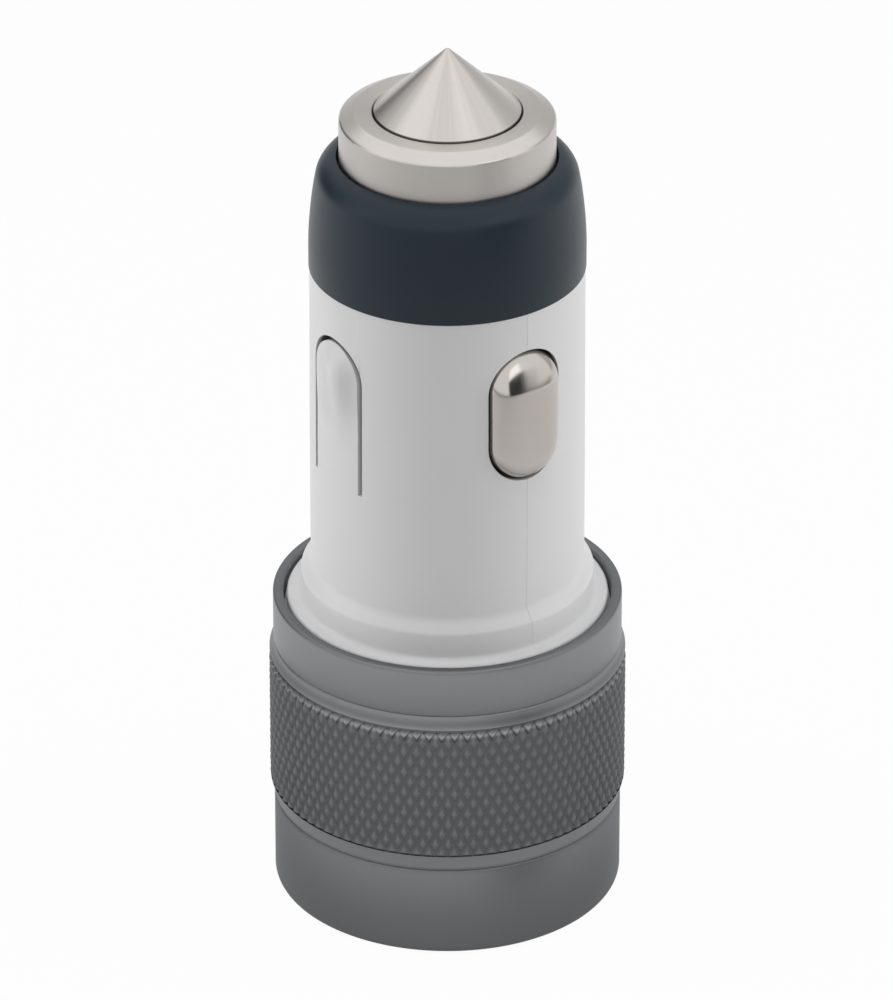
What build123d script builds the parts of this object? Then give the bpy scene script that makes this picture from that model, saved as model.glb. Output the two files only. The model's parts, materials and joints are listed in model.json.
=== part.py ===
from build123d import *
import os
from math import cos, radians, sin, sqrt, tan

# Car USB charger plug. Sizes are in millimetres.
# It stands on its socket face at z = 0 with the tip up. +X points to one ground contact,
# and the moulded barrel is split along the XZ plane.

# Heights, stacked from the socket face to the tip
sleeve_height = 24.75
flange_drop = 0.12           # barrel's flange below the sleeve's rim
shoulder_height = 2.10       # flange to the shoulder's edge
flare_height = 0.85          # shoulder's edge to the plain barrel
barrel_length = 24.83        # plain barrel up to the nose ring
nose_height = 9.0
collar_rise = 3.64           # collar above the nose ring
tip_sink = 0.1               # foot of the tip's cone below the collar's face

# Moulded barrel
barrel_radius = 10.40
barrel_plain = 9.0           # true cylinder above the foot, the rest is drafted
barrel_draft = 0.06          # lost on the radius by the draft
barrel_wall = 1.40
shoulder_step = 0.85         # shoulder beyond the barrel
shoulder_draft = 0.12
flange_width = 1.0           # flange beyond the shoulder
flange_depth = 0.8
flange_round = 0.25
shoulder_root_round = 0.33
shoulder_round = 0.28
flare_round = 0.85
skirt_wall = 1.30
seam_gap = 0.05              # parting line between the half-shells
spigot_wall = 1.20           # neck that carries the nose ring
ledge_thickness = 1.2        # seat of the positive terminal
ledge_opening = 5.6
ledge_sink = 0.2             # ledge below the foot of the nose ring
rail_height = 6.0            # ribs that clamp the circuit board
rail_rise = 2.0
rail_thickness = 1.2
rail_bite = 2.0

# Turned sleeve
rim_gap = 0.25               # between the flange and the sleeve
skirt_clearance = 0.10
sleeve_wall = 0.80
sleeve_foot_round = 0.8
sleeve_rim_round = 0.2
sleeve_edge = 0.15           # small turned edge breaks
lip_width = 0.80             # lip that holds the fascia
lip_height = 1.40

# Diamond knurl
knurl_z = 8.95
knurl_row = 0.88             # half the height of a diamond
knurl_rows = 12
knurl_columns = 88
knurl_proud = 0.33           # crests beyond the plain sleeve
knurl_depth = 0.36
knurl_groove = 0.20          # turned groove at each end of the band
knurl_groove_depth = 0.10    # groove floor below the knurl's roots
knurl_shoulder_drop = 0.03   # end rings below the crests
knurl_chamfer_top = 0.80
knurl_chamfer_foot = 1.10
score_width = 0.14           # fine scored line beyond each chamfer
score_depth = 0.12
score_offset = 0.27

# Nose ring, collar and tip
nose_step = 0.06             # ring beyond the barrel
nose_wall = 1.25
nose_taper = 0.87            # lost on the radius over its height
nose_round = 0.70
nose_clearance = 0.05
lip_overhang = 0.55          # nose lip inside the neck
nose_lip = 1.2
mouth_round = 0.20
mouth_gap = 0.50             # between the nose lip and the collar
collar_face = 2.15           # from the collar's side to its bore
collar_flange = 1.2
collar_flange_gap = 0.10
collar_bevel = 1.10
collar_bevel_drop = 0.55
collar_bevel_round = 0.3
collar_edge = 0.22
collar_roof = 2.2            # thickness over the tip's flange
tip_gap = 0.25               # between the tip's stem and the collar
tip_half_angle = 47.0
tip_round = 0.3
tip_flange_step = 1.4
tip_flange = 1.2
tip_wall = 1.1
tip_roof = 1.4               # metal between the cone's foot and the spring
slide_clearance = 0.07
terminal_thickness = 0.6
terminal_clearance = 0.3
terminal_leg_width = 4.0
terminal_leg_length = 2.9
coil_wire = 0.8
coil_turns = 4.5
coil_clearance = 0.2

# Ground contacts and their springs
contact_drop = 8.40          # window's centre below the foot of the nose ring
window_width = 6.4
window_length = 10.8
window_gap = 0.20
contact_proud = 0.88
contact_dome = 1.9           # rise of the domed face
contact_wall = 0.45
contact_plate = 0.50
contact_plate_rim = 0.7      # plate beyond the window, across
contact_plate_end = 1.0      # plate beyond the window, along
contact_plate_round = 2.0
contact_seat = 2.40          # plate's seat below the barrel's skin
seat_margin = 0.4
contact_spring_rise = 2.3
contact_spring_length = 12.0
contact_spring_foot = 1.4
contact_spring_crown = 2.0
contact_spring_width = 2.4
contact_spring_thickness = 0.25
contact_spring_bend = 0.8

# Moulded spring tabs
tab_drop = 15.5              # foot of the slit below the foot of the nose ring
tab_opening_width = 6.1
tab_opening_length = 12.2
tab_slit = 0.40
tab_bump = 0.26              # crest beyond the barrel
tab_bump_height = 9.1        # crest above the foot of the slit
tab_flush_height = 4.0       # where the tab leaves the barrel's skin
tab_dip = 0.25               # free end below the barrel's skin
tab_thickness = 1.3

# Socket face and circuit board
fascia_recess = 0.45
fascia_gap = 0.10
fascia_flange = 1.2
port_clearance = 0.12
port_edge = 0.3              # chamfer round each opening
usb_width = 13.14
usb_height = 5.72
usb_length = 13.8
usb_wall = 0.30
usb_corner = 0.60            # outside of the shell's folded corners
finger_width = 2.4           # spring fingers in the shell's wide walls
finger_length = 5.0
finger_slot = 0.35           # gap round each finger
finger_offset = 3.0          # fingers from the middle of the shell
finger_set_back = 2.5        # roots behind the socket's mouth
finger_bend = 0.40           # free ends inside the wall
usb_set_back = 0.15          # socket's mouth behind the fascia's face
usb_tongue_width = 11.1
usb_tongue_thickness = 1.84
usb_tongue_offset = 0.72     # tongue to the wall that lies on the board
usb_tongue_set_back = 1.0
usb_block_length = 4.0
blade_width = 1.0
blade_thickness = 0.3
blade_length = 7.0
blade_outer_offset = 3.5
blade_inner_offset = 1.0
board_thickness = 1.6
board_clearance = 0.8        # board to the moulded walls
board_foot_gap = 0.4         # board above the fascia
board_top_gap = 0.4

# Parts on the board
inductor_side = 6.8
inductor_height = 4.5
inductor_round = 1.2
can_diameter = 6.3
can_height = 5.8
can_base = 1.0
can_groove = 0.25
can_round = 0.4
controller_length = 4.9
controller_width = 3.9
controller_height = 1.5
controller_lead = 1.05
controller_lead_width = 0.41
controller_lead_pitch = 1.27
controller_lead_thickness = 0.25
diode_length = 4.3
diode_width = 3.6
diode_height = 2.3
diode_tab = 0.5
diode_tab_width = 2.0
diode_tab_height = 1.1
fuse_length = 6.1
fuse_width = 2.6
fuse_cap = 1.2
fuse_cap_step = 0.1
part_gap = 1.5               # clear board between neighbouring parts

# Tolerance for finding edges and faces by their place
small = 0.001

# Heights of the main joins
flange_z = sleeve_height - flange_drop
shoulder_z = flange_z + shoulder_height
barrel_z = shoulder_z + flare_height
nose_z = barrel_z + barrel_length
nose_top = nose_z + nose_height
collar_top = nose_top + collar_rise
cone_z = collar_top - tip_sink
contact_z = nose_z - contact_drop
tab_z = nose_z - tab_drop
ledge_top = nose_z - ledge_sink
lip_z = nose_top - nose_lip
neck_top = lip_z - collar_flange
stop_z = collar_top - collar_roof
tip_foot = stop_z - tip_flange
spring_foot = ledge_top + terminal_thickness
spring_top = cone_z - tip_roof
skirt_foot = lip_height + fascia_flange

# Radii of the main fits
barrel_bore = barrel_radius - barrel_wall
neck_skin = barrel_radius - barrel_draft
shoulder_radius = barrel_radius + shoulder_step
flange_radius = shoulder_radius + flange_width
sleeve_bore = flange_radius + rim_gap
sleeve_radius = sleeve_bore + sleeve_wall
lip_radius = sleeve_bore - lip_width
skirt_radius = sleeve_bore - skirt_clearance
skirt_bore = skirt_radius - skirt_wall
knurl_crest = sleeve_radius + knurl_proud
knurl_root = knurl_crest - knurl_depth
groove_radius = knurl_root - knurl_groove_depth
nose_radius = neck_skin + nose_step
neck_radius = nose_radius - nose_wall
neck_bore = neck_radius - spigot_wall
nose_bore = neck_radius + nose_clearance
mouth_radius = neck_radius - lip_overhang
collar_radius = mouth_radius - mouth_gap
collar_bore = collar_radius - collar_face
tip_radius = collar_bore - tip_gap
tip_flange_radius = tip_radius + tip_flange_step
tip_bore = tip_radius - tip_wall
seat_x = barrel_radius - contact_seat
plate_x = seat_x - contact_plate
board_neck = plate_x - contact_spring_rise
board_face = board_thickness / 2


def lathe(corners, arc=360):
    """Turn a closed outline of (radius, height, corner rounding) about the Z axis."""
    points = [(radius, height) for radius, height, rounding in corners]
    roundings = [rounding for radius, height, rounding in corners]
    outline = FilletPolyline(*points, radius=roundings, close=True)
    return revolve(Plane.XZ * make_face(outline), Axis.Z, arc)


def turned_edge(piece, radius, height):
    """The circular edge of a turned piece at the given radius and height."""
    for edge in piece.edges().filter_by(GeomType.CIRCLE):
        if abs(edge.radius - radius) < small and abs(edge.arc_center.Z - height) < small:
            return edge
    raise ValueError(f"no edge of radius {radius} at height {height}")


def knurl_point(column, row, radius):
    """A point of the knurl, counted in columns round the band and rows up it."""
    angle = radians(column * 360 / knurl_columns)
    return Vector(radius * cos(angle), radius * sin(angle), knurl_z + row * knurl_row)


def knurl_diamond(column, row):
    """The facets of one diamond, cut off where it would pass the end of the band."""
    crest = knurl_point(column, row, knurl_crest)
    left = knurl_point(column - 0.5, row, knurl_root)
    right = knurl_point(column + 0.5, row, knurl_root)
    facets = []
    for end_row in (row - 1, row + 1):
        if 0 <= end_row <= knurl_rows:
            end = knurl_point(column, end_row, knurl_root)
            facets.append(Face(Wire.make_polygon([left, crest, end])))
            facets.append(Face(Wire.make_polygon([crest, right, end])))
    return facets


def knurl_end(row, inner_circle):
    """The saw-edged flat at one end of the band, down to the turned groove."""
    saw_edge = []
    shift = 0.5 * (row % 2)
    for index in range(knurl_columns):
        saw_edge.append(knurl_point(index + shift - 0.5, row, knurl_root))
        saw_edge.append(knurl_point(index + shift, row, knurl_crest))
    return Face(Wire.make_polygon(saw_edge), [Wire([inner_circle])])


def head_sleeve():
    """The turned sleeve, with its plain band exchanged for knurled facets."""
    knurl_top = knurl_z + knurl_rows * knurl_row
    ring_radius = knurl_crest - knurl_shoulder_drop
    foot_ring = knurl_z - knurl_groove
    foot_chamfer = foot_ring - knurl_chamfer_foot
    foot_score = foot_chamfer - score_offset
    top_ring = knurl_top + knurl_groove
    top_chamfer = top_ring + knurl_chamfer_top
    top_score = top_chamfer + score_offset
    turned = lathe([
        (lip_radius + sleeve_edge, 0, 0),
        (sleeve_radius, 0, sleeve_foot_round),
        (sleeve_radius, foot_score - score_width / 2, 0),
        (sleeve_radius - score_depth, foot_score, 0),
        (sleeve_radius, foot_score + score_width / 2, 0),
        (sleeve_radius, foot_chamfer, 0),
        (ring_radius, foot_ring, 0),
        (groove_radius, foot_ring, 0),
        (groove_radius, knurl_z, 0),
        (knurl_root, knurl_z, 0),
        (knurl_root, knurl_top, 0),
        (groove_radius, knurl_top, 0),
        (groove_radius, top_ring, 0),
        (ring_radius, top_ring, 0),
        (sleeve_radius, top_chamfer, 0),
        (sleeve_radius, top_score - score_width / 2, 0),
        (sleeve_radius - score_depth, top_score, 0),
        (sleeve_radius, top_score + score_width / 2, 0),
        (sleeve_radius, sleeve_height, sleeve_rim_round),
        (sleeve_bore + sleeve_edge, sleeve_height, 0),
        (sleeve_bore, sleeve_height - sleeve_edge, 0),
        (sleeve_bore, lip_height, 0),
        (lip_radius, lip_height, 0),
        (lip_radius, sleeve_edge, 0),
    ])
    faces = []
    for face in turned.faces():
        box = face.bounding_box()
        if box.min.Z < knurl_z - small or box.max.Z > knurl_top + small:
            faces.append(face)
    for row in range(knurl_rows + 1):
        for index in range(knurl_columns):
            faces.extend(knurl_diamond(index + 0.5 * (row % 2), row))
    faces.append(knurl_end(0, turned_edge(turned, groove_radius, knurl_z)))
    faces.append(knurl_end(knurl_rows, turned_edge(turned, groove_radius, knurl_top)))
    return Solid(Shell(faces))


def arch(width, length):
    """A flat arch with a round top, standing on its local X axis."""
    straight = length - width / 2
    return Pos(0, straight / 2) * Rectangle(width, straight) + Pos(0, straight) * Circle(width / 2)


def barrel_skin(height):
    """Radius of the drafted stretch of the barrel."""
    drafted = height - barrel_z - barrel_plain
    return barrel_radius - barrel_draft * drafted / (barrel_length - barrel_plain)


def tab_section(height, crown_rise, edge_rise):
    """One cross section of the spring tab's free end along +Y, set off from the barrel's skin."""
    half = tab_opening_width / 2
    skin = barrel_skin(height)
    edge = sqrt(skin ** 2 - half ** 2) + edge_rise
    back = edge - tab_thickness
    face = ThreePointArc((-half, edge), (0, skin + crown_rise), (half, edge))
    sides = Polyline((half, edge), (half, back), (-half, back), (-half, edge))
    return Pos(0, 0, height) * make_face(face + sides)


def spring_tab(wall):
    """The tab inside its U-shaped slit: flush at the root, with a domed and dipped free end."""
    flush_z = tab_z + tab_flush_height
    crest_z = tab_z + tab_bump_height
    tip_z = tab_z + tab_opening_length
    sections = []
    for share in (0, 0.5, 1):
        sections.append(tab_section(
            flush_z + share * (crest_z - flush_z), share ** 2 * tab_bump, 0))
    for share in (0.5, 1):
        sections.append(tab_section(
            crest_z + share * (tip_z - crest_z),
            tab_bump - share ** 2 * (tab_bump + tab_dip),
            -share ** 2 * tab_dip))
    free_end = loft(sections)
    reach = 2 * barrel_wall
    root = Plane.XZ.offset(-barrel_radius - reach / 2) * Pos(0, tab_z)
    outline = arch(tab_opening_width - 2 * tab_slit, tab_opening_length - tab_slit)
    prism = extrude(root * outline, reach * 2)
    below = Pos(0, 0, flush_z - barrel_length) * Box(
        4 * barrel_radius, 4 * barrel_radius, 2 * barrel_length)
    opening = extrude(root * arch(tab_opening_width, tab_opening_length), reach * 2)
    return opening, (wall & prism & below) + (free_end & prism)


def window_prism(width, length, start, depth):
    """An upright obround of the given size, run out along +X from x = start."""
    outline = Plane.YZ.offset(start) * Pos(0, contact_z) * SlotOverall(length, width, rotation=90)
    return extrude(outline, depth)


def barrel_half():
    """The half-shell on the +Y side of the seam."""
    ledge_foot = ledge_top - ledge_thickness
    inner_foot = barrel_z - barrel_wall
    shell = lathe([
        (skirt_bore, skirt_foot, 0),
        (skirt_radius, skirt_foot, 0),
        (skirt_radius, flange_z - flange_depth - skirt_clearance, 0),
        (flange_radius, flange_z - flange_depth, 0),
        (flange_radius, flange_z, flange_round),
        (shoulder_radius, flange_z, shoulder_root_round),
        (shoulder_radius - shoulder_draft, shoulder_z, shoulder_round),
        (barrel_radius, barrel_z, flare_round),
        (barrel_radius, barrel_z + barrel_plain, 0),
        (neck_skin, nose_z, 0),
        (neck_radius, nose_z, 0),
        (neck_radius, neck_top, 0),
        (neck_bore, neck_top, 0),
        (neck_bore, ledge_top, 0),
        (ledge_opening, ledge_top, 0),
        (ledge_opening, ledge_foot, 0),
        (barrel_bore, ledge_foot, 0),
        (barrel_bore, inner_foot, 0),
        (skirt_bore, inner_foot - (skirt_bore - barrel_bore), 0),
    ], 180)
    opening, tab = spring_tab(shell)
    shell = shell - opening + tab
    inside = Pos(0, 0, barrel_z) * Cylinder(
        barrel_bore + barrel_wall / 2, barrel_length, align=(Align.CENTER, Align.CENTER, Align.MIN))
    seat_depth = barrel_radius - seat_x
    seat_size = (seat_depth, window_width + 2 * (contact_plate_rim + seat_margin),
                 window_length + 2 * (contact_plate_end + seat_margin))
    rail_z = barrel_z + rail_rise
    for side in (-1, 1):
        seat = Pos(side * (seat_x + seat_depth / 2), 0, contact_z) * Box(*seat_size)
        rail_x = side * (barrel_bore - rail_bite / 2 + barrel_wall / 4)
        rail = Pos(rail_x, board_face, rail_z) * Box(
            rail_bite + barrel_wall / 2, rail_thickness, rail_height,
            align=(Align.CENTER, Align.MIN, Align.MIN))
        shell = shell + ((seat + rail) & inside)
    depth = 2 * contact_seat
    window = window_prism(window_width, window_length, seat_x - depth / 4, depth)
    shell = shell - window - Rot(0, 0, 180) * window
    reach = 4 * sleeve_radius
    kept = Pos(0, seam_gap / 2, 0) * Box(
        reach, reach, 4 * collar_top, align=(Align.CENTER, Align.MIN, Align.CENTER))
    return shell & kept


def nose_ring():
    """The smooth ring over the neck, with a lip that clamps the collar."""
    top = nose_radius - nose_taper
    skin = TangentArc((nose_radius, nose_z), (top, nose_top), tangent=(0, 1))
    rest = Polyline(
        (top, nose_top), (mouth_radius, nose_top), (mouth_radius, lip_z),
        (nose_bore, lip_z), (nose_bore, nose_z), (nose_radius, nose_z))
    ring = revolve(Plane.XZ * make_face(skin + rest), Axis.Z)
    ring = fillet(turned_edge(ring, top, nose_top), nose_round)
    return fillet(turned_edge(ring, mouth_radius, nose_top), mouth_round)


def tip_collar():
    """The turned collar: a flange under the nose lip and a counterbore for the tip."""
    guide = tip_flange_radius + slide_clearance
    flange = nose_bore - collar_flange_gap
    return lathe([
        (guide, neck_top, 0),
        (flange, neck_top, 0),
        (flange, lip_z, 0),
        (collar_radius, lip_z, 0),
        (collar_radius, collar_top - collar_bevel_drop, collar_bevel_round),
        (collar_radius - collar_bevel, collar_top, collar_bevel_round),
        (collar_bore + collar_edge, collar_top, 0),
        (collar_bore, collar_top - collar_edge, 0),
        (collar_bore, stop_z, 0),
        (guide, stop_z, 0),
    ])


def centre_tip():
    """The conical tip with its stem, retaining flange and spring bore."""
    half_angle = radians(tip_half_angle)
    ball_z = cone_z + tip_radius / tan(half_angle) - tip_round / sin(half_angle)
    touch = (tip_round * cos(half_angle), ball_z + tip_round * sin(half_angle))
    middle = (90 + tip_half_angle) / 2
    between = (tip_round * cos(radians(middle)), ball_z + tip_round * sin(radians(middle)))
    apex = (0, ball_z + tip_round)
    flank = Polyline(
        (tip_bore, spring_top), (tip_bore, tip_foot), (tip_flange_radius, tip_foot),
        (tip_flange_radius, stop_z), (tip_radius, stop_z), (tip_radius, cone_z), touch)
    point = ThreePointArc(touch, between, apex)
    core = Polyline(apex, (0, spring_top), (tip_bore, spring_top))
    return revolve(Plane.XZ * make_face(flank + point + core), Axis.Z)


def tip_spring():
    """The coil between the positive terminal and the tip, in six-sided wire."""
    coil_radius = tip_bore - coil_clearance - coil_wire / 2
    foot = spring_foot + coil_wire / 2
    height = spring_top - spring_foot - coil_wire
    path = Pos(0, 0, foot) * Helix(height / coil_turns, height, coil_radius)
    section = Plane(path @ 0, z_dir=path % 0) * RegularPolygon(coil_wire / 2, 6)
    return sweep(section, path, is_frenet=True)


def positive_terminal():
    """The disc under the spring, with two legs that straddle the board."""
    disc = Pos(0, 0, ledge_top) * Cylinder(
        neck_bore - terminal_clearance, terminal_thickness,
        align=(Align.CENTER, Align.CENTER, Align.MIN))
    leg = Pos(0, board_face, ledge_top) * Box(
        terminal_leg_width, terminal_thickness, terminal_leg_length,
        align=(Align.CENTER, Align.MIN, Align.MAX))
    return disc + leg + Rot(0, 0, 180) * leg


def domed_pill(width, length, rise, foot):
    """The domed half of an upright pill that stands on the plane x = foot."""
    radius = width / 2
    straight = length - width
    pill = Cylinder(radius, straight)
    for end in (-1, 1):
        pill = pill + Pos(0, 0, end * straight / 2) * Sphere(radius)
    outer_half = Box(width, 2 * width, 2 * length, align=(Align.MIN, Align.CENTER, Align.CENTER))
    return Pos(foot, 0, contact_z) * scale(pill & outer_half, by=(rise / radius, 1, 1))


def ground_contact():
    """The domed cup on the +X side, with the plate that keeps it in its window."""
    dome_x = neck_skin + contact_proud - contact_dome
    width = window_width - 2 * window_gap
    length = window_length - 2 * window_gap
    bore_width = width - 2 * contact_wall
    bore_length = length - 2 * contact_wall
    plate_outline = RectangleRounded(
        window_width + 2 * contact_plate_rim, window_length + 2 * contact_plate_end,
        contact_plate_round)
    plate = extrude(Plane.YZ.offset(plate_x) * Pos(0, contact_z) * plate_outline, contact_plate)
    cup = window_prism(width, length, plate_x, dome_x - plate_x)
    cup = cup + domed_pill(width, length, contact_dome, dome_x)
    hollow = window_prism(bore_width, bore_length, plate_x, dome_x - plate_x)
    hollow = hollow + domed_pill(bore_width, bore_length, contact_dome - contact_wall, dome_x)
    return plate + cup - hollow


def ground_spring():
    """The bow spring on the +X side, from the board's edge to the contact's plate."""
    low = board_neck + contact_spring_thickness / 2
    high = plate_x - contact_spring_thickness / 2
    end = contact_spring_length / 2
    knee = end - contact_spring_foot
    crown = contact_spring_crown / 2
    bow = FilletPolyline(
        (low, -end), (low, -knee), (high, -crown), (high, crown), (low, knee), (low, end),
        radius=contact_spring_bend)
    strip = trace(bow, contact_spring_thickness)
    return extrude(Plane.XZ * Pos(0, contact_z) * strip, contact_spring_width / 2, both=True)


def on_other_side(piece):
    """The same piece on the opposite side of the axis."""
    return Rot(0, 0, 180) * piece


def port_fascia():
    """The plate behind the sleeve's lip, with a chamfered opening for each socket."""
    face_radius = lip_radius - fascia_gap
    flange = sleeve_bore - skirt_clearance
    plate = lathe([
        (0, fascia_recess, 0),
        (face_radius, fascia_recess, 0),
        (face_radius, lip_height, 0),
        (flange, lip_height, 0),
        (flange, skirt_foot, 0),
        (0, skirt_foot, 0),
    ])
    width = usb_width + 2 * port_clearance
    height = usb_height + 2 * port_clearance
    port_y = board_face + usb_height / 2
    corner = usb_corner + port_clearance
    for side in (-1, 1):
        place = Pos(0, side * port_y, fascia_recess)
        opening = place * RectangleRounded(width, height, corner)
        plate = plate - extrude(opening, skirt_foot)
        mouth = loft([
            place * RectangleRounded(width + 2 * port_edge, height + port_edge, corner + port_edge / 2),
            place * Pos(0, 0, port_edge) * RectangleRounded(width, height, corner),
        ])
        plate = plate - mouth
    return plate


def shell_finger(offset, wall_y, inward):
    """One spring finger and its window, in the wide wall whose outer face is at wall_y."""
    root = fascia_recess + usb_set_back + finger_set_back
    end = root + finger_length
    inner_y = wall_y + inward * usb_wall
    bend = inward * finger_bend
    outline = Polyline(
        (wall_y, root), (wall_y + bend, end), (inner_y + bend, end), (inner_y, root), close=True)
    leaf = extrude(Plane.YZ.offset(offset) * make_face(outline), finger_width / 2, both=True)
    window = Pos(offset, (wall_y + inner_y) / 2, root) * Box(
        finger_width + 2 * finger_slot, 2 * usb_wall, finger_length + finger_slot,
        align=(Align.CENTER, Align.CENTER, Align.MIN))
    return leaf, window


def usb_shell():
    """The folded shell of the socket on the +Y face of the board, with its spring fingers."""
    middle = Pos(0, board_face + usb_height / 2, fascia_recess + usb_set_back)
    outer = RectangleRounded(usb_width, usb_height, usb_corner)
    inner = RectangleRounded(
        usb_width - 2 * usb_wall, usb_height - 2 * usb_wall, usb_corner - usb_wall)
    shell = extrude(middle * outer, usb_length) - extrude(middle * inner, usb_length - usb_wall)
    for wall_y, inward in ((board_face, 1), (board_face + usb_height, -1)):
        for offset in (-finger_offset, finger_offset):
            leaf, window = shell_finger(offset, wall_y, inward)
            shell = shell - window + leaf
    return shell


def usb_tongue():
    """The moulded insulator: a block at the back of the shell and the tongue in its mouth."""
    back = fascia_recess + usb_set_back + usb_length - usb_wall
    floor = board_face + usb_wall
    block_y = board_face + usb_height / 2
    block = extrude(Pos(0, block_y, back - usb_block_length) * RectangleRounded(
        usb_width - 2 * usb_wall, usb_height - 2 * usb_wall, usb_corner - usb_wall), usb_block_length)
    length = usb_length - usb_wall - usb_tongue_set_back
    tongue = Pos(0, floor + usb_tongue_offset, back) * Box(
        usb_tongue_width, usb_tongue_thickness, length,
        align=(Align.CENTER, Align.MIN, Align.MAX))
    return block + tongue


def usb_contacts():
    """The four blades on the tongue's outer face."""
    face = board_face + usb_wall + usb_tongue_offset + usb_tongue_thickness
    block_foot = fascia_recess + usb_set_back + usb_length - usb_wall - usb_block_length
    blades = []
    for offset in (-blade_outer_offset, -blade_inner_offset, blade_inner_offset, blade_outer_offset):
        blades.append(Pos(offset, face, block_foot) * Box(
            blade_width, blade_thickness, blade_length, align=(Align.CENTER, Align.MIN, Align.MAX)))
    return Compound(blades)


def circuit_board():
    """The board in the seam plane: wide in the head, narrow between the ground contacts."""
    head = skirt_bore - board_clearance
    middle = barrel_bore - board_clearance
    foot = skirt_foot + board_foot_gap
    head_top = flange_z - barrel_wall
    middle_top = contact_z - window_length / 2 - contact_plate_end - 2 * board_clearance
    top = ledge_top - board_top_gap
    right = [
        (head, foot), (head, head_top - (head - middle)), (middle, head_top),
        (middle, middle_top), (board_neck, middle_top + board_clearance), (board_neck, top)]
    left = [(-x, z) for x, z in reversed(right)]
    outline = Polyline(*right, *left, close=True)
    return extrude(Plane.XZ * make_face(outline), board_thickness / 2, both=True)


def board_part(piece, height, side):
    """Seat a piece, modelled standing on z = 0, on one face of the board."""
    face = Plane((0, side * board_face, height), x_dir=(side, 0, 0), z_dir=(0, side, 0))
    return face * piece


def power_inductor():
    """A shielded block inductor."""
    return extrude(RectangleRounded(inductor_side, inductor_side, inductor_round), inductor_height)


def can_capacitor():
    """A surface-mount can: square base, grooved can and rounded top."""
    radius = can_diameter / 2
    base = extrude(RectangleRounded(can_diameter, can_diameter, can_round), can_base)
    can = lathe([
        (0, can_base, 0),
        (radius, can_base, 0),
        (radius, 2 * can_base - can_groove, 0),
        (radius - can_groove, 2 * can_base, 0),
        (radius, 2 * can_base + can_groove, 0),
        (radius, can_height, can_round),
        (0, can_height, 0),
    ])
    return base + can


def buck_controller():
    """An eight-lead package."""
    body = Box(controller_width, controller_length, controller_height,
               align=(Align.CENTER, Align.CENTER, Align.MIN))
    for index in range(4):
        offset = (index - 1.5) * controller_lead_pitch
        lead = Pos(0, offset, 0) * Box(
            controller_width + 2 * controller_lead, controller_lead_width,
            controller_lead_thickness, align=(Align.CENTER, Align.CENTER, Align.MIN))
        body = body + lead
    return body


def rectifier_diode():
    """A moulded diode with a tab at each end."""
    body = Box(diode_width, diode_length, diode_height,
               align=(Align.CENTER, Align.CENTER, Align.MIN))
    tabs = Box(diode_tab_width, diode_length + 2 * diode_tab, diode_tab_height,
               align=(Align.CENTER, Align.CENTER, Align.MIN))
    return body + tabs


def board_fuse():
    """A block fuse with a cap at each end."""
    block = Box(fuse_width, fuse_length, fuse_width,
                align=(Align.CENTER, Align.CENTER, Align.MIN))
    cap_side = fuse_width + 2 * fuse_cap_step
    for end in (-1, 1):
        cap = Pos(0, end * (fuse_length - fuse_cap) / 2, 0) * Box(
            cap_side, fuse_cap, fuse_width + fuse_cap_step,
            align=(Align.CENTER, Align.CENTER, Align.MIN))
        block = block + cap
    return block


# Rows of parts up the board, above the sockets
usb_end = fascia_recess + usb_set_back + usb_length
first_row = usb_end + part_gap + inductor_side / 2
second_row = first_row + inductor_side / 2 + can_diameter / 2 + part_gap
third_row = second_row + can_diameter / 2 + fuse_length / 2 + part_gap

rear_half = barrel_half()
socket_shell = usb_shell()
socket_tongue = usb_tongue()
socket_contacts = usb_contacts()
side_contact = ground_contact()
side_spring = ground_spring()

nodes = {
    "head_sleeve": head_sleeve(),
    "port_fascia": port_fascia(),
    "barrel_half_rear": rear_half,
    "barrel_half_front": on_other_side(rear_half),
    "nose_ring": nose_ring(),
    "tip_collar": tip_collar(),
    "centre_tip": centre_tip(),
    "tip_spring": tip_spring(),
    "positive_terminal": positive_terminal(),
    "ground_contact_right": side_contact,
    "ground_contact_left": on_other_side(side_contact),
    "ground_spring_right": side_spring,
    "ground_spring_left": on_other_side(side_spring),
    "usb_shell_a": socket_shell,
    "usb_shell_b": on_other_side(socket_shell),
    "usb_tongue_a": socket_tongue,
    "usb_tongue_b": on_other_side(socket_tongue),
    "usb_contacts_a": socket_contacts,
    "usb_contacts_b": on_other_side(socket_contacts),
    "circuit_board": circuit_board(),
    "power_inductor": board_part(power_inductor(), first_row, 1),
    "output_capacitor": board_part(can_capacitor(), first_row, -1),
    "input_capacitor": board_part(can_capacitor(), second_row, -1),
    "buck_controller": board_part(buck_controller(), second_row, 1),
    "rectifier_diode": board_part(rectifier_diode(), third_row, 1),
    "fuse": board_part(board_fuse(), third_row, -1),
}

os.makedirs("parts", exist_ok=True)
for name, piece in nodes.items():
    export_step(piece, f"parts/{name}.step")
    print(name, round(piece.volume, 2))
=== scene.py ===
# %% [markdown]
# # A car charger plug in its studio
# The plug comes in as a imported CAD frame: every piece has its real size and place already.
# This lesson gives it its looks. The pieces that the eye rests on are modelled again, finer,
# round the same axis, and the rest keep their CAD solids and get a finish of their own.
# Everything is in metres, so sizes are written in millimetres and multiplied by mm.

# %% Load the frame
import json
from math import atan2, cos, hypot, pi, radians, sin, sqrt, tan

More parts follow.
